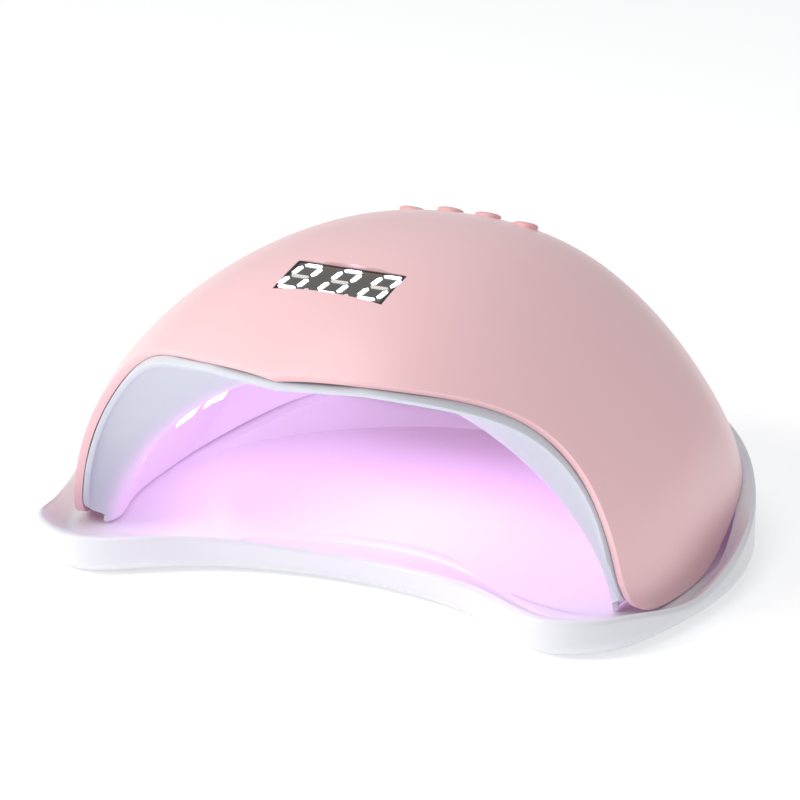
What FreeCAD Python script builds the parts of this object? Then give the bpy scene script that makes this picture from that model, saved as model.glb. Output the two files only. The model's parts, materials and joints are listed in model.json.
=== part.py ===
import FreeCAD, Part
import math
import os

import Sketcher
from FreeCAD import Placement, Rotation, Vector

# UV LED nail lamp: a domed lamp housing that stands in a loose base tray.
# Millimetres. X to the right, -Y to the hand opening, +Z up, z = 0 on the table.

SIZES = {
    # dome: an egg whose side profile is scaled by the arch seen from the front
    "dome_half_width": 93.8,
    "dome_centre_y": 5.3,
    "dome_centre_z": 8.7,
    "shell_wall": 2.4,
    "shell_fit": 0.3,
    # chamber: the white reflector inside the dome
    "chamber_wall": 2.0,
    "chamber_inset": 9.0,
    "arch_half_width": 84.5,
    "arch_height": 62.5,
    "skirt_bottom": 4.0,
    "bezel_setback": 0.8,
    # base tray
    "base_bottom": 0.8,
    "tray_floor": 3.2,
    "tray_undercut": 5.0,
    "seat_gap": 0.7,
    "side_margin": 2.0,
    "rear_margin": 3.9,
    # feet and magnets
    "foot_radius": 6.0,
    "foot_recess": 0.8,
    "foot_height": 1.6,
    "magnet_radius": 2.3,
    "magnet_height": 1.6,
    # display
    "window_width": 33.4,
    "window_height": 17.4,
    "window_y": -53.3,
    "window_tilt": 10.7,
    "display_inset": 1.6,
    "display_clearance": 0.25,
    "display_depth": 7.2,
    "face_depth": 0.5,
    "digit_pitch": 11.3,
    "digit_height": 12.6,
    "digit_width": 6.2,
    "segment_width": 1.5,
    "segment_slant": 8.0,
    # buttons
    "button_radius": 4.0,
    "button_clearance": 0.15,
    "button_pitch": 12.1,
    "button_y": 36.0,
    "button_tilt": 21.5,
    "button_proud": 1.3,
    "flange_radius": 5.1,
    "sleeve_radius": 5.7,
    "sleeve_depth": 5.4,
    "switch_side": 6.0,
    "switch_height": 3.5,
    "plunger_radius": 1.7,
    "plunger_proud": 1.5,
    # boards
    "board_thickness": 1.6,
    "display_board_width": 54.0,
    "display_board_depth": 28.0,
    "display_board_shift": 3.0,
    "button_board_width": 62.0,
    "button_board_depth": 15.0,
    # lights
    "lens_length": 13.0,
    "lens_height": 7.0,
    "lens_fit": 0.1,
    "led_board_length": 78.0,
    "led_board_height": 26.0,
    "led_board_z": 29.0,
    "led_board_y": -6.0,
    "top_board_side": 62.0,
    "top_board_y": 6.0,
    "led_board_wall": 1.2,
    "chip_side": 3.5,
    "chip_height": 1.6,
    "chip_gap": 0.6,
    # power inlet
    "inlet_z": 41.4,
    "inlet_radius": 5.4,
    "inlet_bore": 2.85,
    "inlet_bore_depth": 9.5,
    "inlet_length": 13.0,
    "inlet_face_y": 81.5,
    "chamber_rear_y": 58.0,
    "inlet_pin_radius": 1.05,
    # fasteners
    "screw_radius": 1.25,
    "screw_head_radius": 2.5,
    "screw_head_height": 1.6,
    "screw_length": 6.0,
    "post_radius": 3.2,
}

# side profile of the dome about its centre: angle from the rear in degrees, radius
PROFILE = ((0, 85.8), (30, 85.7), (60, 84.5), (90, 85.3), (115, 96.0), (135, 112.2), (155, 129.4),
           (180, 141.2), (205, 139.0), (232, 112.0), (262, 84.0), (295, 72.0), (330, 78.0))
# front arch of the dome: radius at 0, 18, 36, 54, 72 degrees, as a share of the half width
ARCH = (1.0, 1.017, 0.989, 0.983, 1.0)
# visor edge seen from above, right half: x, y
VISOR = ((0, -95.0), (27.2, -87.1), (49.9, -70.4), (65.4, -58.4), (77.2, -54.1), (85.4, -52.7),
         (93.0, -46.5))
# lower edge of the shell seen from the side: y, z
SWOOP = ((-53.6, 24.0), (-51.2, 14.0), (-47.2, 7.8), (-42, 5.3), (-33, 4.2), (-20, 3.9), (-10, 4.3),
         (-1, 6.4),
         (8, 11.0), (15, 15.0), (22, 18.8), (32, 22.4), (50, 26.0), (72, 28.0), (110, 29.0))
# lower edge of the chamber skirt seen from the side: y, z above the skirt's bottom
SKIRT = ((-110, 0), (-40, 0), (10, 0), (28, 1.0), (43, 5.0), (57, 11.0), (75, 15.0), (110, 17.0))
# flare of the chamber's mouth: y, half width and height beyond the arch, fullness
FLARE = ((-98, 35.5, 14.8, 6.0), (-68, 15.5, 6.3, 3.5), (-56, 9.5, 3.1, 2.65), (-51, 5.5, 1.7, 2.1),
         (-47.5, -0.5, 0.4, 1.9), (-44, -4.0, -0.4, 1.8))
TUNNEL = ((-44, -4.0, -0.4, 1.8), (-26, -2.4, -0.2, 1.8), (-8, 0.0, 0.0, 1.8), (20, 0.0, 0.0, 1.8),
          (110, 0.0, 0.0, 1.8))
# front of the base: outer point and seat point of each station, x and y
APRON = (((0, -52.0), (0, -26.0)), ((20, -53.7), (20, -28.5)), ((38, -58.7), (39, -38.5)),
         ((56, -69.0), (57, -51.0)),
         ((73, -76.5), (74, -56.5)), ((88, -69.5), (86.5, -55.5)), ((99.0, -46.0), (93.4, -42.0)),
         ((104.0, -17.0), (95.2, -15.0)), ((102.0, 7.0), (95.2, 5.3)))
# top edge of the base's outer wall seen from the side: y, z
CREASE = ((-110, 12.0), (-76, 12.0), (-60, 11.2), (-50, 9.2), (-40, 7.6), (-30, 7.6), (-17, 10.0), (5, 15.0),
          (22, 18.4), (32, 21.4), (50, 25.0), (72, 27.2), (110, 28.2))

doc = FreeCAD.newDocument("nail_lamp")
sheet = doc.addObject("Spreadsheet::Sheet", "Sizes")
for row, (alias, number) in enumerate(SIZES.items(), 1):
    sheet.set("A%d" % row, alias)
    sheet.set("B%d" % row, str(number))
    sheet.setAlias("B%d" % row, alias)
doc.recompute()


def size(alias):
    return float(sheet.get(alias))


# curves and faces

def curve(points, closed=False):
    spline = Part.BSplineCurve()
    spline.interpolate(Points=points, PeriodicFlag=closed)
    return spline


def face_of(edges):
    return Part.Face(Part.Wire(edges))


def mirrored(points):
    """A closed ring from its right half, which runs front to rear. The ring starts at the rear."""
    left = [Vector(-p.x, p.y, p.z) for p in points[-2:0:-1]]
    return points[-1:] + left + points[:-1]


def height(side_curve, y):
    """Height of a side-view curve at y, by straight runs between its points."""
    for (y0, z0), (y1, z1) in zip(side_curve, side_curve[1:]):
        if y <= y1:
            return z0 + (z1 - z0) * (max(y, y0) - y0) / (y1 - y0)
    return side_curve[-1][1]


def under(side_curve, lift=0.0, floor=-120.0, half_width=130.0):
    """The solid under a side-view curve, across the whole width."""
    points = [Vector(-half_width, y, z + lift) for y, z in side_curve]
    first, last = points[0], points[-1]
    low_first, low_last = Vector(first.x, first.y, floor), Vector(last.x, last.y, floor)
    edges = [curve(points).toShape(), Part.makeLine(last, low_last), Part.makeLine(low_last, low_first),
             Part.makeLine(low_first, first)]
    return face_of(edges).extrude(Vector(2 * half_width, 0, 0))


def biggest(shape):
    return max(shape.Solids, key=lambda solid: solid.Volume)


# the dome

def arch_points():
    """Quarter of the front arch, from the side (angle 0) almost to the top."""
    return [(share * math.cos(math.radians(18 * i)), share * math.sin(math.radians(18 * i)))
            for i, share in enumerate(ARCH)]


def arch_curve():
    quarter = arch_points()
    left = [(-x, -z) for x, z in quarter[::-1]] + [(-x, z) for x, z in quarter[1:]]
    ring = [(0, -1)] + left + [(0, 1)] + [(-x, -z) for x, z in left]
    spline = curve([Vector(x, 0, z) for x, z in ring], True)
    start, end = spline.parameter(Vector(-1, 0, 0)), spline.parameter(Vector(1, 0, 0))
    trim = 0.012 * (end - start)
    spline.segment(start + trim, end - trim)
    return spline


def profile_curve(inset):
    turned = PROFILE[-3:] + PROFILE[:-3]
    points = [Vector(0, (r - inset) * math.cos(math.radians(a)), (r - inset) * math.sin(math.radians(a)))
              for a, r in turned]
    return curve(points, True)


def dome(inset):
    """The dome's egg, drawn in from the outside by inset, as one solid."""
    arch, profile = arch_curve(), profile_curve(inset)
    half = size("dome_half_width") - inset
    cy, cz = size("dome_centre_y"), size("dome_centre_z")
    poles = [[Vector(half * a.x, cy + a.z * p.y, cz + a.z * p.z) for p in profile.getPoles()]
             for a in arch.getPoles()]
    surface = Part.BSplineSurface()
    surface.buildFromPolesMultsKnots(poles, arch.getMultiplicities(), profile.getMultiplicities(),
                                     arch.getKnots(), profile.getKnots(), False, True,
                                     arch.Degree, profile.Degree)
    side = surface.toShape()
    rims = [edge for edge in side.Edges if edge.isClosed() and edge.BoundBox.XLength < 0.01]
    shell = Part.Shell([side] + [Part.Face(Part.Wire(rim)) for rim in rims])
    shell.sewShape()
    solid = Part.Solid(shell)
    solid.fix(0.001, 0.001, 0.001)
    return solid


def dome_top(y):
    """Height of the dome's surface on the middle line at y."""
    line = Part.makeLine(Vector(0.001, y, 40), Vector(0.001, y, 140))
    return max(v.Z for v in line.common(DOMES["skin"]).Vertexes)


def ahead_of_visor(setback=0.0):
    """Everything in front of the visor's edge, moved back by setback."""
    right = [Vector(x, y + setback, -60) for x, y in VISOR]
    ring = [Vector(-p.x, p.y, p.z) for p in right[:0:-1]] + right
    reach = 140.0
    first, last = ring[0], ring[-1]
    corners = [last, Vector(reach, last.y, -60), Vector(reach, -reach, -60), Vector(-reach, -reach, -60),
               Vector(-reach, first.y, -60), first]
    edges = [curve(ring).toShape()] + [Part.makeLine(a, b) for a, b in zip(corners, corners[1:])]
    return face_of(edges).extrude(Vector(0, 0, 200))


# the chamber

def arch_section(y, half_width, top, fullness, steps=8):
    """Closed wire across the tunnel at y: a superellipse over a straight foot."""
    points = []
    for i in range(2 * steps + 1):
        turn = math.pi * i / (2 * steps)
        c, s = math.cos(turn), math.sin(turn)
        x = math.copysign(abs(c) ** (2 / fullness), c) * half_width
        points.append(Vector(x, y, abs(s) ** (2 / fullness) * top))
    foot_right, foot_left = Vector(half_width, y, -30), Vector(-half_width, y, -30)
    edges = [curve(points).toShape(), Part.makeLine(points[-1], foot_left),
             Part.makeLine(foot_left, foot_right), Part.makeLine(foot_right, points[0])]
    return Part.Wire(edges)


def cavity(grow):
    """The hand space: flared mouth and tunnel, closed at the rear by the dome's own form."""
    parts = []
    for rows in (FLARE, TUNNEL):
        wires = [arch_section(y, size("arch_half_width") + wide + grow, size("arch_height") + high + grow,
                              full)
                 for y, wide, high, full in rows]
        parts.append(Part.makeLoft(wires, True, False))
    mouth, tunnel = parts
    ahead = Part.makeBox(300, 200, 200, Vector(-150, size("dome_centre_y") - 200, -80))
    rear = DOMES["chamber" if grow == 0 else "chamber_back"]
    return mouth.fuse(tunnel.common(ahead.fuse(rear)))


# document helpers

def feature(name, shape):
    obj = doc.addObject("Part::Feature", name)
    obj.Shape = shape
    return obj


def bound(kind, name, place=None, **sizes):
    """A primitive or operation whose sizes are bound to the sheet."""
    obj = doc.addObject(kind, name)
    for key, expression in sizes.items():
        obj.setExpression(key, expression)
    if place is not None:
        obj.Placement = place
    return obj


def cut(name, base, tool):
    obj = doc.addObject("Part::Cut", name)
    obj.Base, obj.Tool = base, tool
    return obj


def fuse(name, shapes):
    obj = doc.addObject("Part::MultiFuse", name)
    obj.Shapes = shapes
    return obj


def group(name, shapes):
    obj = doc.addObject("Part::Compound", name)
    obj.Links = shapes
    return obj


def sized_box(name, width, depth, tall, place, centred=True):
    """A box on the XY plane of its place, centred on it unless told otherwise."""
    obj = bound("Part::Box", name, Length=width, Width=depth, Height=tall)
    doc.recompute()
    shift = Vector(-obj.Length.Value / 2, -obj.Width.Value / 2, 0) if centred else Vector(0, 0, 0)
    obj.Placement = place.multiply(Placement(shift, Rotation()))
    return obj


def cylinder(name, radius, tall, place):
    return bound("Part::Cylinder", name, place, Radius=radius, Height=tall)


def revolved(name, outline, place=None):
    """A body turned about its Z axis: outline is (radius, height) pairs of sheet expressions."""
    body = doc.addObject("PartDesign::Body", name)
    sketch = body.newObject("Sketcher::SketchObject", name + "_outline")
    plane = [p for p in body.Origin.OriginFeatures if p.Role == "XZ_Plane"][0]
    sketch.AttachmentSupport = [(plane, "")]
    sketch.MapMode = "FlatFace"
    flat = [(evaluate(r), evaluate(z)) for r, z in outline]
    for (r0, z0), (r1, z1) in zip(flat, flat[1:] + flat[:1]):
        sketch.addGeometry(Part.LineSegment(Vector(r0, z0, 0), Vector(r1, z1, 0)), False)
    count = len(flat)
    for i in range(count):
        sketch.addConstraint(Sketcher.Constraint("Coincident", i, 2, (i + 1) % count, 1))
    for i, (r, z) in enumerate(outline):
        pin(sketch, i, "DistanceX", -2, r, flat[i][0])
        pin(sketch, i, "DistanceY", -1, z, flat[i][1])
    turn = body.newObject("PartDesign::Revolution", name + "_turn")
    turn.Profile = sketch
    turn.ReferenceAxis = (sketch, ["V_Axis"])
    turn.Angle = 360
    body.Tip = turn
    if place is not None:
        body.Placement = place
    return body


def pin(sketch, i, kind, axis, expression, number):
    """Hold point i of a sketch at a distance from the origin, or on an axis where that is zero."""
    if abs(number) < 1e-9:
        sketch.addConstraint(Sketcher.Constraint("PointOnObject", i, 1, axis))
        return
    index = sketch.addConstraint(Sketcher.Constraint(kind, -1, 1, i, 1, number))
    sketch.setExpression("Constraints[%d]" % index, expression)


def evaluate(expression):
    return float(sheet.evalExpression(expression)) if isinstance(expression, str) else float(expression)


def board(name, width, depth, thick, place, holes=()):
    """A circuit board with screw holes, its top face on the XY plane of its place."""
    plate = sized_box(name + "_plate", width, depth, thick, place.multiply(Placement(
        Vector(0, 0, -evaluate(thick)), Rotation())))
    drills = [cylinder("%s_hole_%d" % (name, i), "Sizes.screw_radius + 0.15", thick,
                       place.multiply(Placement(Vector(x, y, -evaluate(thick)), Rotation())))
              for i, (x, y) in enumerate(holes, 1)]
    if not drills:
        return plate
    return cut(name, plate, fuse(name + "_holes", drills) if len(drills) > 1 else drills[0])


def screw(name, place):
    """A pan-head screw whose head sits on the XY plane of its place and whose shank points down."""
    head = cylinder(name + "_head", "Sizes.screw_head_radius", "Sizes.screw_head_height", place)
    shank = cylinder(name + "_shank", "Sizes.screw_radius", "Sizes.screw_length",
                     place.multiply(Placement(Vector(0, 0, -size("screw_length")), Rotation())))
    return fuse(name, [head, shank])


NODES = {}


def node(name, obj):
    obj.Label = name
    NODES[name] = obj
    return obj


# shared forms
wall = size("shell_wall")
chamber_face = size("chamber_inset")
DOMES = {
    "skin": dome(0.0),
    "rib_limit": dome(wall / 2),
    "inside": dome(wall),
    "fit": dome(wall + size("shell_fit")),
    "chamber_back": dome(chamber_face - size("chamber_wall")),
    "chamber": dome(chamber_face),
}


def frame_at(y, tilt):
    """Place on the dome's middle line at y, its Z axis leaning forward by tilt degrees."""
    return Placement(Vector(0, y, dome_top(y)), Rotation(Vector(1, 0, 0), tilt))


DISPLAY = frame_at(size("window_y"), size("window_tilt"))
BUTTONS = frame_at(size("button_y"), -size("button_tilt"))
BUTTON_XS = [size("button_pitch") * step for step in (-1.5, -0.5, 0.5, 1.5)]


def at(frame, x, y, z):
    return frame.multiply(Placement(Vector(x, y, z), Rotation()))


def button_rise(x):
    """Height of the dome over the button frame's XY plane on a button's axis."""
    line_start = BUTTONS.multVec(Vector(x, 0.001, -20))
    line_end = BUTTONS.multVec(Vector(x, 0.001, 20))
    hits = Part.makeLine(line_start, line_end).common(DOMES["skin"]).Vertexes
    return max(BUTTONS.inverse().multVec(v.Point).z for v in hits)


# housing pieces

def top_shell():
    skin = biggest(DOMES["skin"].cut(DOMES["inside"]).cut(ahead_of_visor()).cut(under(SWOOP)))
    ribs = fuse("rib_stock", button_sleeves() + window_frame() + board_posts() + [inlet_boss()])
    inside = doc.addObject("Part::MultiCommon", "ribs_inside")
    inside.Shapes = [ribs, feature("shell_envelope", DOMES["rib_limit"])]
    ribbed = fuse("shell_with_ribs", [feature("shell_skin", skin), inside])
    holes = button_holes() + window_holes() + post_holes() + vents()
    opened = cut("shell_opened", ribbed, fuse("shell_openings", holes))
    return node("top_shell", cut("top_shell", opened, inlet_hole()))


def button_sleeves():
    depth = size("sleeve_depth")
    return [cylinder("sleeve_%d" % i, "Sizes.sleeve_radius", "Sizes.sleeve_depth", at(BUTTONS, x, 0, -depth))
            for i, x in enumerate(BUTTON_XS, 1)]


def button_holes():
    return [cylinder("button_hole_%d" % i, "Sizes.button_radius + Sizes.button_clearance",
                     "Sizes.sleeve_depth + 8", at(BUTTONS, x, 0, -size("sleeve_depth") - 2))
            for i, x in enumerate(BUTTON_XS, 1)]


def window_frame():
    return [sized_box("window_frame", "Sizes.window_width + 5", "Sizes.window_height + 5",
                      "Sizes.display_inset + 4", at(DISPLAY, 0, 0, -size("display_inset") - 4))]


def window_holes():
    opening = sized_box("window_hole", "Sizes.window_width", "Sizes.window_height", "14",
                        at(DISPLAY, 0, 0, -9))
    return [opening]


def post_places():
    """Feet of the board posts: display board posts first, then the button board's."""
    across = size("display_board_width") / 2 - 3.2
    along = size("display_board_depth") / 2 - 3.2
    shift = size("display_board_shift")
    display = [at(DISPLAY, sx * across, sy * along + shift, display_board_top())
               for sx in (-1, 1) for sy in (-1, 1)]
    side = size("button_board_width") / 2 - 3.2
    return display + [at(BUTTONS, sx * side, 0, button_board_top()) for sx in (-1, 1)]


def display_board_top():
    return -size("display_inset") - size("display_depth")


def button_board_top():
    return -size("sleeve_depth") - 0.3 - 1.0 - size("plunger_proud") - size("switch_height")


def board_posts():
    return [cylinder("post_%d" % i, "Sizes.post_radius", "16", place) for i,
            place in enumerate(post_places(), 1)]


def post_holes():
    return [cylinder("post_hole_%d" % i, "Sizes.screw_radius + 0.05",
                     "Sizes.screw_length - Sizes.board_thickness + 0.5",
                     at(place, 0, 0, -0.2)) for i, place in enumerate(post_places(), 1)]


def inlet_place(y):
    return Placement(Vector(0, y, size("inlet_z")), Rotation(Vector(1, 0, 0), -90))


def inlet_boss():
    return cylinder("inlet_boss", "Sizes.inlet_radius + 3.4", "16", inlet_place(size("inlet_face_y") - 5))


def inlet_hole():
    """Stepped hole: a close fit on the inlet, then a wider recess for the plug."""
    outline = [("0", "0"), ("Sizes.inlet_radius + 0.05", "0"), ("Sizes.inlet_radius + 0.05", "12"),
               ("Sizes.inlet_radius + 1.8", "12"), ("Sizes.inlet_radius + 1.8", "32"), ("0", "32")]
    return revolved("inlet_hole", outline, inlet_place(size("inlet_face_y") - 12))


def vents():
    slots = []
    for i in range(6):
        x = (i - 2.5) * 6.5
        place = Placement(Vector(x + math.copysign(14, x), 88, size("inlet_z") - 4), Rotation())
        slots.append(sized_box("vent_%d" % (i + 1), "2.2", "40", "13", place))
    return slots


# side lights: y and z of each window on the chamber's wall; top lights: x and y
SIDE_LIGHTS = ((-32.0, 26.0), (-15.0, 26.5), (2.0, 23.5), (2.0, 34.5), (20.0, 23.5), (20.0, 34.5))
TOP_LIGHTS = [(x, y) for y in (-16.0, 6.0, 28.0) for x in (-20.0, 0.0, 20.0)]
SENSOR = (-37.5, 19.5)


def tunnel_wall(z):
    """Half width of the tunnel at height z, and how far its wall leans over there."""
    full = TUNNEL[-1][3]
    half, top = size("arch_half_width"), size("arch_height")

    def reach(v):
        return half * (1 - (v / top) ** full) ** (1 / full)
    return reach(z), math.degrees(math.atan(reach(z - 0.5) - reach(z + 0.5)))


def wall_place(side, y, z):
    """Place on the chamber's inner wall at (y, z): Z axis out of the chamber, Y axis along it."""
    x, lean = tunnel_wall(z)
    return Placement(Vector(side * x, y, z), Rotation(Vector(0, 1, 0), side * (90 - lean)))


def light_windows(side, name, shrink):
    """Stock that passes through the chamber's wall at each side light and sensor."""
    reach = 9
    stock = []
    for i, (y, z) in enumerate(SIDE_LIGHTS, 1):
        stock.append(sized_box("%s_%d" % (name, i), "Sizes.lens_height - 2 * %g" % shrink,
                               "Sizes.lens_length - 2 * %g" % shrink, "%d" % (2 * reach),
                               at(wall_place(side, y, z), 0, 0, -reach)))
    return stock


def sensor_slot(side, name, shrink):
    y, z = SENSOR
    return sized_box(name, "%g" % (2.4 - 2 * shrink), "%g" % (5.0 - 2 * shrink), "12",
                     at(wall_place(side, y, z), 0, 0, -6))


def top_windows(name, shrink):
    return [cylinder("%s_%d" % (name, i), "Sizes.lens_height / 2 - %g" % shrink, "16",
                     Placement(Vector(x, y, size("arch_height") - 8), Rotation()))
            for i, (x, y) in enumerate(TOP_LIGHTS, 1)]


def led_board_place(side):
    inner = wall_place(side, size("led_board_y"), size("led_board_z"))
    return at(inner, 0, 0, size("chamber_wall") + size("chip_height") + size("chip_gap"))


def top_board_place():
    rise = size("arch_height") + size("chamber_wall") + size("chip_height") + size("chip_gap")
    return Placement(Vector(0, size("top_board_y"), rise), Rotation())


def side_peg_spots():
    along = size("led_board_length") / 2 - 4
    return [(0, -along), (0, along)]


def top_peg_spots():
    reach = size("top_board_side") / 2 - 4
    return [(sx * reach, sy * reach) for sx in (-1, 1) for sy in (-1, 1)]


def chamber_pegs():
    pegs = []
    for side in (-1, 1):
        pegs += [cylinder("peg_%d_%d" % (side, i), "Sizes.post_radius - 0.4", "8",
                          at(led_board_place(side), x, y, -8)) for i, (x, y) in enumerate(side_peg_spots())]
    pegs += [cylinder("top_peg_%d" % i, "Sizes.post_radius", "16", at(top_board_place(), x, y, -16))
             for i, (x, y) in enumerate(top_peg_spots())]
    return pegs


def peg_holes():
    holes = []
    depth = size("screw_length") - size("led_board_wall") + 0.3
    for side in (-1, 1):
        holes += [cylinder("peg_hole_%d_%d" % (side, i), "Sizes.screw_radius + 0.05", "%g" % (depth - 3),
                           at(led_board_place(side), x, y, -depth + 3)) for i,
                  (x, y) in enumerate(side_peg_spots())]
    holes += [cylinder("top_peg_hole_%d" % i, "Sizes.screw_radius + 0.05", "%g" % depth,
                       at(top_board_place(), x, y, -depth)) for i, (x, y) in enumerate(top_peg_spots())]
    return holes


def chamber_forms():
    """The chamber's hand space and its back, both closed by a flat rear wall."""
    thick = size("chamber_wall")
    forms = []
    for grow in (0.0, thick):
        ahead = Part.makeBox(300, 300, 300, Vector(-150, size("chamber_rear_y") + grow - 300, -150))
        forms.append(cavity(grow).common(ahead))
    return forms


def inner_chamber(space, back, wall_stock):
    fit = DOMES["fit"].cut(ahead_of_visor(size("bezel_setback")))
    liner = wall_stock.common(fit).cut(under(SKIRT, size("skirt_bottom")))
    slab = under(SWOOP, 3.2).cut(under(SWOOP, 1.2))
    boards_side = Part.makeBox(300, 28, 300, Vector(-150, 12, -150))
    ledge = fit.cut(back).common(slab).cut(boards_side)
    low = Part.makeBox(300, 300, 100, Vector(-150, -150, -100 + size("skirt_bottom")))
    moulding = feature("chamber_moulding", biggest(liner.fuse(ledge).cut(low)))
    pegs = cut("pegs_outside", fuse("pegs", chamber_pegs()), feature("hand_space", back))
    drilled = cut("pegs_drilled", pegs, fuse("peg_holes", peg_holes()))
    whole = fuse("chamber_with_pegs", [moulding, drilled])
    openings = light_windows(-1, "window_left", 0) + light_windows(1, "window_right", 0)
    openings += [sensor_slot(-1, "slot_left", 0),
                 sensor_slot(1, "slot_right", 0)] + top_windows("window_top", 0)
    return node("inner_chamber", cut("inner_chamber", whole, fuse("light_openings", openings)))


def lenses(name, stock, wall_feature):
    """Clear lenses: the part of the chamber's wall that fills its windows."""
    obj = doc.addObject("Part::MultiCommon", name)
    obj.Shapes = [fuse(name + "_stock", stock), wall_feature]
    return node(name, obj)


def chip_spots(side):
    inverse = led_board_place(side).inverse()
    return [inverse.multVec(wall_place(side, y, z).Base) for y, z in SIDE_LIGHTS]


def lights(wall_stock):
    wall_feature = feature("chamber_wall_stock", wall_stock)
    fit = size("lens_fit")
    rise = -size("chip_height")
    for side, word in ((-1, "left"), (1, "right")):
        lenses("led_lenses_" + word, light_windows(side, "lens_" + word, fit), wall_feature)
        place = led_board_place(side)
        node("led_board_" + word,
             board("led_board_" + word, "Sizes.led_board_height", "Sizes.led_board_length",
                                        "Sizes.led_board_wall", at(place, 0, 0, size("led_board_wall")),
                                        side_peg_spots()))
        chips = [sized_box("chip_%s_%d" % (word, i), "Sizes.chip_side", "Sizes.chip_side",
                           "Sizes.chip_height",
                           at(place, p.x, p.y, rise)) for i, p in enumerate(chip_spots(side), 1)]
        node("led_chips_" + word, group("led_chips_" + word, chips))
    lenses("led_lenses_top", top_windows("lens_top", fit), wall_feature)
    place = top_board_place()
    node("led_board_top", board("led_board_top", "Sizes.top_board_side", "Sizes.top_board_side",
                                "Sizes.led_board_wall", at(place, 0, 0, size("led_board_wall")),
                                top_peg_spots()))
    chips = [sized_box("chip_top_%d" % i, "Sizes.chip_side", "Sizes.chip_side", "Sizes.chip_height",
                       at(place, x, y - size("top_board_y"), rise)) for i,
             (x, y) in enumerate(TOP_LIGHTS, 1)]
    node("led_chips_top", group("led_chips_top", chips))
    lenses("sensor_windows", [sensor_slot(-1, "sensor_left", fit), sensor_slot(1, "sensor_right", fit)],
           wall_feature)
    spots = [(side, led_board_place(side).inverse().multVec(wall_place(side, *SENSOR).Base))
             for side in (-1, 1)]
    sensors = [sized_box("sensor_%d" % (side + 2), "Sizes.chip_side", "Sizes.chip_side", "Sizes.chip_height",
                         at(led_board_place(side), p.x, p.y, rise)) for side, p in spots]
    node("ir_sensors", group("ir_sensors", sensors))


# display, buttons and boards

def display():
    inset, clear = size("display_inset"), size("display_clearance")
    body = sized_box("module_block", "Sizes.window_width - 2 * Sizes.display_clearance",
                     "Sizes.window_height - 2 * Sizes.display_clearance", "Sizes.display_depth",
                     at(DISPLAY, 0, 0, -inset - size("display_depth")))
    rim = 0.7
    face_width = "Sizes.window_width - 2 * Sizes.display_clearance - %g" % (2 * rim)
    face_height = "Sizes.window_height - 2 * Sizes.display_clearance - %g" % (2 * rim)
    pocket = sized_box("module_pocket", face_width, face_height, "Sizes.face_depth + 1",
                       at(DISPLAY, 0, 0, -inset - size("face_depth")))
    node("display_module", cut("display_module", body, pocket))
    face = sized_box("face_plate", face_width, face_height, "Sizes.face_depth",
                     at(DISPLAY, 0, 0, -inset - size("face_depth")))
    node("display_face", cut("display_face", face, feature("face_slots", segment_bars(0.04, 0.3))))
    node("display_segments", feature("display_segments", segment_bars(0.0, 0.3)))


def segment_bars(grow, deep):
    """Seven slanted bars for each of three digits, and a point after the first two."""
    tall, wide, thick = size("digit_height") - 2, size("digit_width"), size("segment_width")
    lean = math.tan(math.radians(size("segment_slant")))
    half = tall / 2
    gap = 0.25
    bars = []
    for digit in (-1, 0, 1):
        centre = digit * size("digit_pitch")
        for level in (-half, 0, half):
            bars.append(bar(centre - wide / 2 + thick / 2 + gap, level, centre + wide / 2 - thick / 2 - gap,
                            level,
                            thick + 2 * grow, grow, lean))
        for low, high in ((-half, 0), (0, half)):
            for side in (-1, 1):
                x = centre + side * (wide - thick) / 2
                bars.append(bar(x, low + thick / 2 + gap, x, high - thick / 2 - gap, thick + 2 * grow, grow,
                                lean))
    solids = [face.extrude(Vector(0, 0, -deep)) for face in bars]
    for digit in (-1, 0):
        x = (digit + 0.5) * size("digit_pitch") - half * lean
        dot = Part.makeCylinder(0.65 + grow, deep, Vector(x, -half, -deep))
        solids.append(dot)
    shape = Part.makeCompound(solids)
    shape.Placement = at(DISPLAY, 0, 0, -size("display_inset"))
    return shape


def bar(x0, y0, x1, y1, thick, grow, lean):
    """A six-cornered bar from one point to another, leaning with the digit."""
    h = thick / 2
    if y0 == y1:
        outline = [(x0 - grow, y0), (x0 + h - grow, y0 + h), (x1 - h + grow, y0 + h), (x1 + grow, y0),
                   (x1 - h + grow, y0 - h), (x0 + h - grow, y0 - h)]
    else:
        outline = [(x0, y0 - grow), (x0 + h, y0 + h - grow), (x0 + h, y1 - h + grow), (x0, y1 + grow),
                   (x0 - h, y1 - h + grow), (x0 - h, y0 + h - grow)]
    points = [Vector(x + y * lean, y, 0) for x, y in outline]
    return Part.Face(Part.makePolygon(points + points[:1]))


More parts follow.
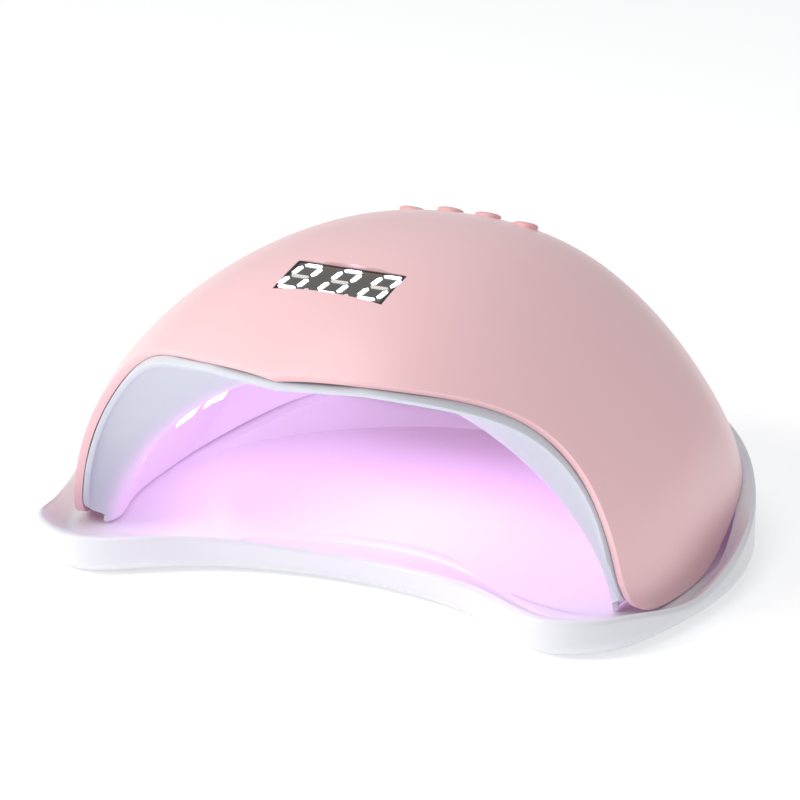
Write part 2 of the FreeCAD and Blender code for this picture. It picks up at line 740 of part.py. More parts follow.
def boards():
    shift = size("display_board_shift")
    across = size("display_board_width") / 2 - 3.2
    along = size("display_board_depth") / 2 - 3.2
    corners = [(sx * across, sy * along) for sx in (-1, 1) for sy in (-1, 1)]
    place = at(DISPLAY, 0, shift, display_board_top())
    node("display_board", board("display_board", "Sizes.display_board_width", "Sizes.display_board_depth",
                                "Sizes.board_thickness", place, corners))
    under_face = at(place, 0, 0, -size("board_thickness"))
    parts = [sized_box("controller", "9", "9", "1.6", at(under_face, -12, 0, -1.6)),
             sized_box("driver", "5", "6", "1.5", at(under_face, 2, 4, -1.5)),
             sized_box("socket_lead", "8", "5", "5", at(under_face, 14, -6, -5)),
             cylinder("capacitor", "3.1", "8", at(under_face, 12, 5, -8))]
    node("board_parts", group("board_parts", parts))
    side = size("button_board_width") / 2 - 3.2
    top = at(BUTTONS, 0, 0, button_board_top())
    node("button_board", board("button_board", "Sizes.button_board_width", "Sizes.button_board_depth",
                               "Sizes.board_thickness", top, [(-side, 0), (side, 0)]))
    switches = []
    for i, x in enumerate(BUTTON_XS, 1):
        case = sized_box("switch_case_%d" % i, "Sizes.switch_side", "Sizes.switch_side",
                         "Sizes.switch_height",
                         at(top, x, 0, 0))
        well = cylinder("switch_well_%d" % i, "Sizes.plunger_radius + 0.1", "Sizes.switch_height",
                        at(top, x, 0, 1.1))
        switches.append(cut("switch_%d" % i, case, well))
    node("button_switches", group("button_switches", switches))


def buttons():
    flange_top = -size("sleeve_depth") - 0.3
    for i, x in enumerate(BUTTON_XS, 1):
        place = at(BUTTONS, x, 0, 0)
        top = button_rise(x) + size("button_proud")
        base = flange_top - 1.0
        outline = [("0", "0"), ("Sizes.flange_radius", "0"), ("Sizes.flange_radius", "1.0"),
                   ("Sizes.button_radius", "1.0"), ("Sizes.button_radius", "%g" % (top - base)),
                   ("0", "%g" % (top - base))]
        cap = revolved("timer_button_%d" % i, outline, at(place, 0, 0, base))
        node("timer_button_%d" % i, rounded_top(cap, "timer_button_%d" % i, top - base))
        plunger = cylinder("switch_plunger_%d" % i, "Sizes.plunger_radius", "Sizes.plunger_proud + 1.2",
                           at(place, 0, 0, base - size("plunger_proud") - 1.2))
        node("switch_plunger_%d" % i, plunger)


def rounded_top(body, name, tall):
    """Round the cap's top edge."""
    doc.recompute()
    turn = body.Tip
    edges = ["Edge%d" % (i + 1) for i, e in enumerate(turn.Shape.Edges)
             if abs(e.BoundBox.ZMin - tall) < 1e-4 and abs(e.BoundBox.ZMax - tall) < 1e-4 and e.isClosed()]
    fillet = body.newObject("PartDesign::Fillet", name + "_round")
    fillet.Base = (turn, edges)
    fillet.Radius = 0.9
    body.Tip = fillet
    return body


def screws():
    flip = Placement(Vector(0, 0, 0), Rotation(Vector(1, 0, 0), 180))
    group_parts = []
    for i, place in enumerate(post_places(), 1):
        seat = at(place, 0, 0, -size("board_thickness")).multiply(flip)
        group_parts.append(screw("post_screw_%d" % i, seat))
    for side, word in ((-1, "left"), (1, "right")):
        place = at(led_board_place(side), 0, 0, size("led_board_wall"))
        group_parts += [short_screw("%s_screw_%d" % (word, i), at(place, x, y, 0), 3.0)
                        for i, (x, y) in enumerate(side_peg_spots(), 1)]
    place = at(top_board_place(), 0, 0, size("led_board_wall"))
    group_parts += [screw("top_screw_%d" % i, at(place, x, y, 0)) for i,
                    (x, y) in enumerate(top_peg_spots(), 1)]
    node("board_screws", group("board_screws", group_parts))


def short_screw(name, place, less):
    head = cylinder(name + "_head", "Sizes.screw_head_radius", "Sizes.screw_head_height", place)
    shank = cylinder(name + "_shank", "Sizes.screw_radius", "Sizes.screw_length - %g" % less,
                     at(place, 0, 0, less - size("screw_length")))
    return fuse(name, [head, shank])


def power_inlet():
    face, long = size("inlet_face_y"), size("inlet_length")
    block = cylinder("inlet_block", "Sizes.inlet_radius", "Sizes.inlet_length", inlet_place(face - long))
    bore = cylinder("inlet_bore", "Sizes.inlet_bore", "Sizes.inlet_bore_depth + 1",
                    inlet_place(face - size("inlet_bore_depth")))
    node("dc_inlet", cut("dc_inlet", block, bore))
    pin_long = size("inlet_bore_depth") - 1.0
    node("inlet_pin", cylinder("inlet_pin", "Sizes.inlet_pin_radius", "%g" % pin_long,
                               inlet_place(face - size("inlet_bore_depth"))))


# leads

def rounded_path(points, bend):
    """Straight runs joined by tangent arcs, as one wire."""
    edges = []
    start = points[0]
    for before, corner, after in zip(points, points[1:], points[2:]):
        back = (before - corner).normalize()
        ahead = (after - corner).normalize()
        half = back.getAngle(ahead) / 2
        reach = min(bend / math.tan(half), 0.45 * min(before.distanceToPoint(corner),
                                                      after.distanceToPoint(corner)))
        radius = reach * math.tan(half)
        a, b = corner + back * reach, corner + ahead * reach
        middle = (back + ahead).normalize()
        c = corner + middle * (radius / math.sin(half) - radius)
        edges.append(Part.makeLine(start, a))
        edges.append(Part.Arc(a, c, b).toShape())
        start = b
    edges.append(Part.makeLine(start, points[-1]))
    return Part.Wire(edges)


def tube(points, radius, bend=6.0):
    path = rounded_path(points, bend)
    ahead = (points[1] - points[0]).normalize()
    circle = Part.Wire(Part.makeCircle(radius, points[0], ahead))
    return path.makePipeShell([circle], True, False)


def leads():
    face = size("inlet_face_y") - size("inlet_length")
    socket = at(DISPLAY, 14, size("display_board_shift") - 6,
                display_board_top() - size("board_thickness") - 5)
    start = Vector(0, face + 2.2, size("inlet_z") + size("inlet_radius") + 0.15)
    end = socket.Base
    down = socket.multVec(Vector(0, 0, -5))
    route = [start, start + Vector(0, 0.4, 5), Vector(6, 66, 59.5), Vector(22, 56, 67.5), Vector(38, 42, 66),
             Vector(38, 10, 70), Vector(36, -12, 73), Vector(20, -38, down.z), down, end]
    node("power_lead", feature("power_lead", tube(route, 1.1, 8.0)))


# base tray

def base_stations(share, z_of):
    """Closed ring of points round the base: share 0 on the outer wall, 1 on the seat's edge."""
    right = [Vector(o[0] + (s[0] - o[0]) * share, o[1] + (s[1] - o[1]) * share, 0) for o, s in APRON]
    cy, half = size("dome_centre_y"), size("dome_half_width")
    side = size("side_margin") * (1 - share) - wall * share
    rear = size("rear_margin") * (1 - share) - wall * share
    for x, z in arch_points()[1:] + [(0, 1.0)]:
        right.append(Vector((half + side) * x, cy + (PROFILE[0][1] + rear) * z, 0))
    for p in right:
        p.z = z_of(p.y)
    return mirrored(right)


def ring_face(points):
    return Part.Face(Part.Wire(curve(points, True).toShape()))


def prism(points, top=60.0):
    return ring_face(points).extrude(Vector(0, 0, top))


def seat_height(y):
    if y < -20:
        return size("tray_floor")
    return max(size("tray_floor"), height(SWOOP, y) - size("seat_gap"))


def base_tray():
    bottom = size("base_bottom")
    block = prism(base_stations(0.0, lambda y: bottom))
    lower = [e for e in block.Edges if e.BoundBox.ZMax < bottom + 0.01 and e.Length > 100]
    block = block.makeFillet(size("tray_undercut"), lower)
    rings = [base_stations(-0.5, lambda y: height(CREASE, y) + 1.0),
             base_stations(0.12, lambda y: height(CREASE, y)),
             base_stations(0.5, lambda y: 0.45 * height(CREASE, y) + 0.55 * seat_height(y)),
             base_stations(1.0, lambda y: seat_height(y))]
    wires = [Part.Wire(curve(ring, True).toShape()) for ring in rings]
    band = Part.makeLoft(wires, False, False)
    seat = prism(base_stations(0.995, lambda y: size("tray_floor")))
    block = block.common(under(CREASE, 0.3))
    ledge = under(SKIRT, size("skirt_bottom") - 0.5)
    tools = [face.extrude(Vector(0, 0, 60)) for face in band.Faces]
    tools += [seat.cut(ledge), prism(hand_floor(size("tray_floor"))), shell_space()]
    for tool in tools:
        block = block.cut(tool)
    pockets = fuse("tray_pockets", foot_pockets() + magnet_pockets())
    return node("base_tray", cut("base_tray", feature("tray_moulding", biggest(block)), pockets))


def shell_space():
    """Room for the shell's lower edge: the dome grown by the seat gap, over its swoop."""
    gap = size("seat_gap")
    behind_edge = Part.makeBox(300, 300, 150, Vector(-150, SWOOP[1][0], -10))
    return dome(-gap).cut(under(SWOOP, -gap)).common(behind_edge)


FEET = ((-66, -60), (66, -60), (-78, 8), (78, 8), (-46, 66), (46, 66))
MAGNETS = ((-86.2, -30.0), (86.2, -30.0), (-88.4, -4.0), (88.4, -4.0))


def foot_pockets():
    return [cylinder("foot_pocket_%d" % i, "Sizes.foot_radius + 0.1", "Sizes.foot_recess",
                     Placement(Vector(x, y, size("base_bottom")), Rotation())) for i,
            (x, y) in enumerate(FEET, 1)]


def magnet_pockets():
    top = size("skirt_bottom") - 0.5
    return [cylinder("magnet_pocket_%d" % i, "Sizes.magnet_radius + 0.1", "Sizes.magnet_height + 5",
                     Placement(Vector(x, y, top - size("magnet_height")), Rotation()))
            for i, (x, y) in enumerate(MAGNETS, 1)]


def feet_and_magnets():
    feet = [revolved("foot_%d" % i,
                     [("0", "0"), ("Sizes.foot_radius - 0.6", "0"), ("Sizes.foot_radius", "0.6"),
                                     ("Sizes.foot_radius", "Sizes.foot_height"), ("0", "Sizes.foot_height")],
                     Placement(Vector(x, y, 0), Rotation())) for i, (x, y) in enumerate(FEET, 1)]
    node("rubber_feet", group("rubber_feet", feet))
    top = size("skirt_bottom") - 0.5
    discs = [cylinder("base_magnet_%d" % i, "Sizes.magnet_radius", "Sizes.magnet_height",
                      Placement(Vector(x, y, top - size("magnet_height")), Rotation()))
             for i, (x, y) in enumerate(MAGNETS, 1)]
    node("base_magnets", group("base_magnets", discs))
    upper = []
    for i, (x, y) in enumerate(MAGNETS, 1):
        rest = max(height(SWOOP, y - 2), height(SWOOP, y + 2)) + 3.2
        upper.append(cylinder("lamp_magnet_%d" % i, "Sizes.magnet_radius", "Sizes.magnet_height",
                              Placement(Vector(x, y, rest), Rotation())))
    node("lamp_magnets", group("lamp_magnets", upper))


def hand_floor(z):
    """Ring of the tray's flat floor: the seat's front and the chamber's own plan behind."""
    right = [Vector(s[0], s[1], z) for o, s in APRON[:5]]
    cy = size("dome_centre_y")
    half = size("dome_half_width") - chamber_face - 0.5
    right.append(Vector(half - 1.5, -44, z))
    right.append(Vector(half + 0.5, -20, z))
    rear = PROFILE[0][1] - chamber_face - 0.5
    for x, share in arch_points() + [(0, 1.0)]:
        right.append(Vector(half * x, cy + rear * share, z))
    return mirrored(right)


# the whole lamp

base_tray()
feet_and_magnets()
hand_space, chamber_back = chamber_forms()
wall_shape = chamber_back.cut(hand_space)
top_shell()
inner_chamber(hand_space, chamber_back, wall_shape)
lights(wall_shape)
display()
boards()
buttons()
screws()
power_inlet()
leads()
doc.recompute()

for obj in doc.Objects:
    if "Invalid" in obj.State or "Error" in obj.State:
        raise RuntimeError("%s failed: %s" % (obj.Name, obj.State))
os.makedirs("parts", exist_ok=True)
for name, obj in NODES.items():
    shape = obj.Shape
    if shape.isNull() or not shape.isValid():
        raise RuntimeError("%s has no valid shape" % name)
    solids = shape.Solids
    print(name, len(solids), "solids", round(shape.Volume))
    shape.exportStep("parts/%s.step" % name)
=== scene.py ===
"""UV LED nail lamp: a pink domed housing with a lit white hand chamber, on a loose white tray."""

import json
import math

import bpy
import numpy as np
from mathutils import Matrix, Vector


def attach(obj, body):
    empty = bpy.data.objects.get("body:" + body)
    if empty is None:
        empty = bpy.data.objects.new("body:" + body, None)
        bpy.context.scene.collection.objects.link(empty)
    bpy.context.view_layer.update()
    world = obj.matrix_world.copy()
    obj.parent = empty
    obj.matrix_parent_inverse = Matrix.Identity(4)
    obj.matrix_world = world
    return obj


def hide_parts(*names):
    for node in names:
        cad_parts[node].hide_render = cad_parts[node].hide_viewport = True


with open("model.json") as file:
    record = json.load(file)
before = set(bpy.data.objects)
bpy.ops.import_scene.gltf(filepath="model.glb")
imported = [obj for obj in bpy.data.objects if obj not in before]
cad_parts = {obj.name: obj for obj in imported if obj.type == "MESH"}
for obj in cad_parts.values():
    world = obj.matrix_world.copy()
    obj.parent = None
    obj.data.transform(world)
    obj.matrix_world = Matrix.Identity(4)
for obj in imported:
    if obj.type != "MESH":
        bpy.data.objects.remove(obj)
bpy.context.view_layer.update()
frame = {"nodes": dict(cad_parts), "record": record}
nodes = frame["nodes"]
MM = 0.001

# Shapes shared with the CAD source, in millimetres.

HALF_WIDTH, CENTRE_Y, CENTRE_Z = 93.8, 5.3, 8.7
SHELL_WALL, CHAMBER_INSET = 2.4, 9.0
ARCH_HALF, ARCH_HEIGHT = 84.5, 62.5
PROFILE = ((0, 85.8), (30, 85.7), (60, 84.5), (90, 85.3), (115, 96.0), (135, 112.2), (155, 129.4),
           (180, 141.2), (205, 139.0), (232, 112.0), (262, 84.0), (295, 72.0), (330, 78.0))
ARCH = (1.0, 1.017, 0.989, 0.983, 1.0)
VISOR = ((0, -95.0), (27.2, -87.1), (49.9, -70.4), (65.4, -58.4), (77.2, -54.1), (85.4, -52.7), (93.0, -46.5))
SWOOP = ((-53.6, 24.0), (-51.2, 14.0), (-47.2, 7.8), (-42, 5.3), (-33, 4.2), (-20, 3.9), (-10, 4.3), (-1, 6.4),
         (8, 11.0), (15, 15.0), (22, 18.8), (32, 22.4), (50, 26.0), (72, 28.0), (110, 29.0))
SKIRT = ((-110, 0), (-40, 0), (10, 0), (28, 1.0), (43, 5.0), (57, 11.0), (75, 15.0), (110, 17.0))
FLARE = ((-98, 35.5, 14.8, 6.0), (-68, 15.5, 6.3, 3.5), (-56, 9.5, 3.1, 2.65), (-51, 5.5, 1.7, 2.1),
         (-47.5, -0.5, 0.4, 1.9), (-44, -4.0, -0.4, 1.8), (-26, -2.4, -0.2, 1.8), (-8, 0.0, 0.0, 1.8),
         (20, 0.0, 0.0, 1.8), (110, 0.0, 0.0, 1.8))
APRON = (((0, -52.0), (0, -26.0)), ((20, -53.7), (20, -28.5)), ((38, -58.7), (39, -38.5)),
         ((56, -69.0), (57, -51.0)), ((73, -76.5), (74, -56.5)), ((88, -69.5), (86.5, -55.5)),
         ((99.0, -46.0), (93.4, -42.0)), ((104.0, -17.0), (95.2, -15.0)), ((102.0, 7.0), (95.2, 5.3)))
CREASE = ((-110, 12.0), (-76, 12.0), (-60, 11.2), (-50, 9.2), (-40, 7.6), (-30, 7.6), (-17, 10.0), (5, 15.0),
          (22, 18.4), (32, 21.4), (50, 25.0), (72, 27.2), (110, 28.2))
CHAMBER_REAR = 58.0
LINER_WALL, MOUTH_INSET, SETBACK = 1.6, 4.4, 0.8
WINDOW = (33.4, 17.4)
BUTTON_PITCH, BUTTON_RADIUS, BUTTON_HOLE, BUTTON_DEPTH, BUTTON_PROUD = 12.1, 4.0, 4.25, 7.0, 1.3

# Slices of the dome, as shares of its height: the lowest one made, and where they start to lie closer together.
LOWEST_SLICE, CLOSE_SLICES = 0.006, 0.04


def spline(points, closed=False, samples=60):
    """A smooth cubic through the points, sampled densely, as an array of rows."""
    p = np.array(points, float)
    if closed:
        p = np.vstack([p, p[:1]])
    t = np.concatenate([[0], np.cumsum(np.linalg.norm(np.diff(p, axis=0), axis=1))])
    n, h = len(p), np.diff(t)
    a, b = np.zeros((n, n)), np.zeros((n, p.shape[1]))
    for i in range(1, n - 1):
        a[i, i - 1], a[i, i], a[i, i + 1] = h[i - 1], 2 * (h[i - 1] + h[i]), h[i]
        b[i] = 6 * ((p[i + 1] - p[i]) / h[i] - (p[i] - p[i - 1]) / h[i - 1])
    if closed:
        a[0, 0], a[0, 1], a[0, -2] = 2 * (h[-1] + h[0]), h[0], h[-1]
        b[0] = 6 * ((p[1] - p[0]) / h[0] - (p[0] - p[-2]) / h[-1])
        a[-1, 0], a[-1, -1] = 1, -1
    else:
        a[0, 0] = a[-1, -1] = 1
    m = np.linalg.solve(a, b)
    rows = []
    for i in range(n - 1):
        for s in np.arange(samples) / samples * h[i]:
            c, d = t[i + 1] - t[i] - s, s
            rows.append(m[i] * c ** 3 / (6 * h[i]) + m[i + 1] * d ** 3 / (6 * h[i])
                        + (p[i] / h[i] - m[i] * h[i] / 6) * c + (p[i + 1] / h[i] - m[i + 1] * h[i] / 6) * d)
    rows.append(p[-1])
    return np.array(rows)


def lookup(table):
    """A function of the first column, read off a smooth curve through the table."""
    dense = spline(table)
    return lambda v: np.interp(v, dense[:, 0], dense[:, 1])


def even(points, count):
    """The points of a line spread evenly along it."""
    step = np.concatenate([[0], np.cumsum(np.linalg.norm(np.diff(points, axis=0), axis=1))])
    at = np.linspace(0, step[-1], count)
    return np.stack([np.interp(at, step, points[:, k]) for k in range(points.shape[1])], axis=1)


def arch_line():
    """The front arch, from the left side over the top to the right, as x and z shares."""
    quarter = [(s * math.cos(math.radians(18 * i)), s * math.sin(math.radians(18 * i))) for i, s in enumerate(ARCH)]
    left = [(-x, -z) for x, z in quarter[::-1]] + [(-x, z) for x, z in quarter[1:]]
    ring = [(0, -1)] + left + [(0, 1)] + [(-x, -z) for x, z in left]
    dense = spline(ring, closed=True)
    start = int(np.argmin(np.hypot(dense[:, 0] + 1, dense[:, 1])))
    end = int(np.argmin(np.hypot(dense[:, 0] - 1, dense[:, 1])))
    return dense[start:end + 1] if start < end else dense[end:start + 1][::-1]


def profile_line(inset):
    """The dome's side profile drawn in by inset: its angles from the rear, and its points."""
    turned = PROFILE[-3:] + PROFILE[:-3]
    dense = spline([((r - inset) * math.cos(math.radians(a)), (r - inset) * math.sin(math.radians(a)))
                    for a, r in turned], closed=True)
    angle = np.degrees(np.arctan2(dense[:, 1], dense[:, 0])) % 360
    order = np.argsort(angle)
    return angle[order], dense[order]


visor_y = lookup(VISOR)
swoop_z = lookup(SWOOP)
skirt_z = lookup(SKIRT)
crease_z = lookup(CREASE)
ARCH_LINE = arch_line()


def dome_strip(ax, az, inset, angles):
    """Points of the dome drawn in by inset, on one side-view slice, at the given angles from the rear."""
    known, line = profile_line(inset)
    py = np.interp(angles, known, line[:, 0], period=360)
    pz = np.interp(angles, known, line[:, 1], period=360)
    x = np.full_like(py, (HALF_WIDTH - inset) * ax)
    return np.stack([x, CENTRE_Y + az * py, CENTRE_Z + az * pz], axis=1)


# Mesh helpers.

def deselect():
    if bpy.context.mode != "OBJECT":
        bpy.ops.object.mode_set(mode="OBJECT")
    bpy.ops.object.select_all(action="DESELECT")


def pick(obj):
    """Make this the only selected piece, and the active one."""
    deselect()
    bpy.context.view_layer.objects.active = obj
    obj.select_set(True)


def apply_modifier(obj, kind, **values):
    mod = obj.modifiers.new(kind.lower(), kind)
    for key, value in values.items():
        setattr(mod, key, value)
    pick(obj)
    bpy.ops.object.modifier_apply(modifier=mod.name)


def settle(obj):
    """Put the piece's place into its mesh."""
    pick(obj)
    bpy.ops.object.transform_apply(location=True, rotation=True, scale=True)


def smooth(obj, degrees):
    pick(obj)
    bpy.ops.object.shade_smooth_by_angle(angle=math.radians(degrees))


def even_normals(obj):
    """Turn all the faces of a piece to the same side."""
    pick(obj)
    bpy.ops.object.mode_set(mode="EDIT")
    bpy.ops.mesh.select_all(action="SELECT")
    bpy.ops.mesh.normals_make_consistent(inside=False)
    bpy.ops.object.mode_set(mode="OBJECT")


def wear(obj, mat):
    """Give a piece this material alone."""
    obj.data.materials.clear()
    obj.data.materials.append(mat)


def draped_grid(name, rows, weld=True):
    """A grid primitive laid on rows of points (millimetres), welded where its edges meet."""
    rows = np.asarray(rows) * MM
    deselect()
    bpy.ops.mesh.primitive_grid_add(x_subdivisions=rows.shape[1] - 1, y_subdivisions=rows.shape[0] - 1, size=1)
    obj = bpy.context.object
    obj.name = obj.data.name = name
    flat = np.empty(len(obj.data.vertices) * 3)
    obj.data.vertices.foreach_get("co", flat)
    flat = flat.reshape(-1, 3)
    column = np.rint((flat[:, 0] + 0.5) * (rows.shape[1] - 1)).astype(int)
    row = np.rint((flat[:, 1] + 0.5) * (rows.shape[0] - 1)).astype(int)
    obj.data.vertices.foreach_set("co", rows[row, column].ravel())
    obj.data.update()
    if weld:
        bpy.ops.object.mode_set(mode="EDIT")
        bpy.ops.mesh.select_all(action="SELECT")
        bpy.ops.mesh.remove_doubles(threshold=2e-5)
        bpy.ops.mesh.normals_make_consistent(inside=False)
        bpy.ops.object.mode_set(mode="OBJECT")
    return obj


def carve(obj, cutters):
    """Cut the cutters out of a piece, then remove them."""
    for cutter in cutters:
        apply_modifier(obj, "BOOLEAN", object=cutter, operation="DIFFERENCE", solver="EXACT")
        bpy.data.objects.remove(cutter, do_unlink=True)


def frame_matrix(y, tilt):
    """Place on the dome's middle line, its Z axis leaning forward by tilt degrees."""
    strip = dome_strip(0.0, 1.0, 0.0, np.linspace(40, 170, 2000))
    z = strip[np.argmin(abs(strip[:, 1] - y)), 2]
    return Matrix.Translation(Vector((0, y, z)) * MM) @ Matrix.Rotation(math.radians(tilt), 4, "X")


DISPLAY = frame_matrix(-53.3, 10.7)
BUTTONS = frame_matrix(36.0, -21.5)
BUTTON_XS = [BUTTON_PITCH * step for step in (-1.5, -0.5, 0.5, 1.5)]


def box(name, size, place, round_off=0.0, segments=3):
    """A cube primitive, sized, rounded along all its edges and put in place."""
    deselect()
    bpy.ops.mesh.primitive_cube_add(size=1)
    obj = bpy.context.object
    obj.name = obj.data.name = name
    obj.scale = Vector(size) * MM
    settle(obj)
    if round_off:
        apply_modifier(obj, "BEVEL", width=round_off * MM, segments=segments, limit_method="NONE")
    obj.matrix_world = place
    settle(obj)
    return obj


def spot(place, x, y, z):
    return place @ Matrix.Translation(Vector((x, y, z)) * MM)


def peg(name, radius, depth, place, vertices):
    """A cylinder primitive, sized in millimetres and put in place."""
    deselect()
    bpy.ops.mesh.primitive_cylinder_add(vertices=vertices, radius=radius * MM, depth=depth * MM)
    obj = bpy.context.object
    obj.name = obj.data.name = name
    obj.matrix_world = place
    settle(obj)
    return obj


def joined(name, objs):
    """One piece out of several."""
    deselect()
    for obj in objs:
        obj.select_set(True)
    bpy.context.view_layer.objects.active = objs[0]
    bpy.ops.object.join()
    bpy.context.object.name = bpy.context.object.data.name = name
    return bpy.context.object


# Materials.

def material(name, colour, rough, **sockets):
    mat = bpy.data.materials.new(name)
    mat.use_nodes = True
    shader = mat.node_tree.nodes["Principled BSDF"]
    shader.inputs["Base Color"].default_value = (*colour, 1)
    shader.inputs["Roughness"].default_value = rough
    for key, value in sockets.items():
        shader.inputs[key.replace("_", " ")].default_value = value
    return mat


def add(mat, kind, **values):
    node = mat.node_tree.nodes.new("ShaderNode" + kind)
    for key, value in values.items():
        setattr(node, key, value)
    return node


def link(mat, source, target):
    mat.node_tree.links.new(source, target)


def moulded_grain(mat, scale, depth, spread=0.05):
    """Fine moulding texture: a slight bump, and roughness that drifts a little over the surface."""
    shader = mat.node_tree.nodes["Principled BSDF"]
    place = add(mat, "TexCoord")
    fine, broad = add(mat, "TexNoise"), add(mat, "TexNoise")
    fine.inputs["Scale"].default_value = scale
    fine.inputs["Detail"].default_value = 4
    broad.inputs["Scale"].default_value = 18
    broad.inputs["Detail"].default_value = 2
    bump = add(mat, "Bump")
    bump.inputs["Strength"].default_value = 0.25
    bump.inputs["Distance"].default_value = depth * MM
    link(mat, place.outputs["Object"], fine.inputs["Vector"])
    link(mat, place.outputs["Object"], broad.inputs["Vector"])
    link(mat, fine.outputs["Fac"], bump.inputs["Height"])
    link(mat, bump.outputs["Normal"], shader.inputs["Normal"])
    drift = add(mat, "MapRange")
    rough = shader.inputs["Roughness"].default_value
    drift.inputs["To Min"].default_value = rough - spread
    drift.inputs["To Max"].default_value = rough + spread
    link(mat, broad.outputs["Fac"], drift.inputs["Value"])
    link(mat, drift.outputs["Result"], shader.inputs["Roughness"])
    return mat


def painted_glow_along(mat, axis, start, end, first, last, socket):
    """Blend one of the shader's colours along an axis of the lamp, between two places in millimetres; used to
    spread the chamber's painted glow.
    """
    shader = mat.node_tree.nodes["Principled BSDF"]
    place, split = add(mat, "TexCoord"), add(mat, "SeparateXYZ")
    span, mix = add(mat, "MapRange", interpolation_type="SMOOTHSTEP"), add(mat, "Mix", data_type="RGBA")
    span.inputs["From Min"].default_value = start * MM
    span.inputs["From Max"].default_value = end * MM
    mix.inputs[6].default_value = (*first, 1)
    mix.inputs[7].default_value = (*last, 1)
    link(mat, place.outputs["Object"], split.inputs["Vector"])
    link(mat, split.outputs[axis], span.inputs["Value"])
    link(mat, span.outputs["Result"], mix.inputs[0])
    link(mat, mix.outputs[2], shader.inputs[socket])


def glow(mat, colour, strength):
    shader = mat.node_tree.nodes["Principled BSDF"]
    shader.inputs["Emission Color"].default_value = (*colour, 1)
    shader.inputs["Emission Strength"].default_value = strength
    return mat


satin_pink = moulded_grain(material("satin_pink", (0.93, 0.59, 0.61), 0.36, Coat_Weight=0.25, Coat_Roughness=0.22,
                                    Sheen_Weight=0.15, Sheen_Roughness=0.4), 1400, 0.02)
# The chamber's plastic is white; its darker blue-grey base colour is painted shade.
chamber_white = moulded_grain(material("chamber_white", (0.64, 0.69, 0.74), 0.42), 1100, 0.012)
tray_white = moulded_grain(material("tray_white", (0.76, 0.76, 0.80), 0.3, Coat_Weight=0.15, Coat_Roughness=0.2),
                           900, 0.015)
button_pink = moulded_grain(material("button_pink", (0.86, 0.46, 0.47), 0.3, Coat_Weight=0.3, Coat_Roughness=0.15),
                            1600, 0.01)
display_black = material("display_black", (0.008, 0.008, 0.010), 0.35)
display_glass = material("display_glass", (0.085, 0.078, 0.068), 0.28, Coat_Weight=0.4, Coat_Roughness=0.08)
lit_segment = glow(material("lit_segment", (0.9, 0.95, 1.0), 0.4), (0.85, 0.95, 1.0), 2.2)
# Unlit segments and points get a faint emission: painted light, so they show pale behind the dark glass.
dim_segment = glow(material("dim_segment", (0.55, 0.52, 0.5), 0.5), (0.9, 0.85, 0.82), 0.25)
lens_glow = glow(material("lens_glow", (1.0, 0.9, 1.0), 0.3), (1.0, 0.72, 0.98), 2.6)

# Painted light: the chamber's plastic gets a pink emission for the lamp's pink light in its depth, and none at the
# mouth, where it stays white.
CHAMBER_LIGHT = (1.0, 0.42, 0.92)
glow(chamber_white, CHAMBER_LIGHT, 0.22)
painted_glow_along(chamber_white, "Y", -47, -40, (0, 0, 0), CHAMBER_LIGHT, socket="Emission Color")


# Housing.

def shell_rows():
    """Lines from front to rear over the dome, each ending on the shell's own edge."""
    lines = []
    fine = even(ARCH_LINE, 1401)
    shares = [share for i, share in enumerate(fine) if i % 10 == 0 or (share[1] < CLOSE_SLICES and i % 4 == 0)]
    angles = np.linspace(0, 359.5, 1440)
    for ax, az in shares:
        if az < LOWEST_SLICE:
            continue
        strip = dome_strip(ax, az, 0.0, angles)
        x, y, z = strip.T
        room = np.minimum(y - visor_y(abs(x)), np.where(y > SWOOP[0][0], z - swoop_z(y), 1.0))
        top = int(np.argmax(angles >= 90))
        front, rear = top, top
        if room[top] <= 0:
            continue
        while room[front + 1] > 0:
            front += 1
        while room[rear - 1] > 0:
            rear -= 1
        ahead = front + room[front] / (room[front] - room[front + 1])
        behind = rear - room[rear] / (room[rear] - room[rear - 1])
        at = np.concatenate([[behind], np.arange(rear, front + 1), [ahead]]) * (angles[1] - angles[0])
        lines.append(even(dome_strip(ax, az, 0.0, at), 150))
    return lines


# Rear of the housing: vent slots on each side of the round power inlet.
VENT_XS = [side * x for side in (-1, 1) for x in (17.25, 23.75, 30.25)]
VENT_SIZE, VENT_Y, VENT_Z = (2.2, 40, 13), 88.0, 43.9
INLET_Z, INLET_HOLE, INLET_RECESS, INLET_FACE = 41.4, 5.45, 7.2, 81.5


def rear_cutters():
    """Slots for the vents, and the inlet's shallow round recess with its hole."""
    vents = [box("vent", VENT_SIZE, spot(Matrix.Identity(4), x, VENT_Y, VENT_Z), 0.9) for x in VENT_XS]
    cutters = [joined("vent_cutters", vents)]
    end = INLET_FACE + 20
    for radius, start in ((INLET_HOLE, INLET_FACE - 12), (INLET_RECESS, INLET_FACE)):
        place = spot(Matrix.Identity(4), 0, (start + end) / 2, INLET_Z) @ Matrix.Rotation(math.pi / 2, 4, "X")
        cutters.append(peg("inlet_cutter", radius, end - start, place, 72))
    return cutters


def make_shell():
    shell = draped_grid("shell_cover", shell_rows(), weld=False)
    even_normals(shell)
    if shell.data.polygons[len(shell.data.polygons) // 2].normal.z < 0:
        shell.data.flip_normals()
    apply_modifier(shell, "SOLIDIFY", thickness=SHELL_WALL * MM, offset=-1, use_even_offset=True)
    apply_modifier(shell, "BEVEL", width=0.7 * MM, segments=3, limit_method="ANGLE", angle_limit=math.radians(50))
    carve(shell, [box("window_cutter", (*WINDOW, 16), DISPLAY)])
    carve(shell, [peg("button_cutter", BUTTON_HOLE, 14, spot(BUTTONS, x, 0, 0), 64) for x in BUTTON_XS])
    carve(shell, rear_cutters())
    smooth(shell, 40)
    wear(shell, satin_pink)
    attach(shell, "lamp")
    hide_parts("top_shell")


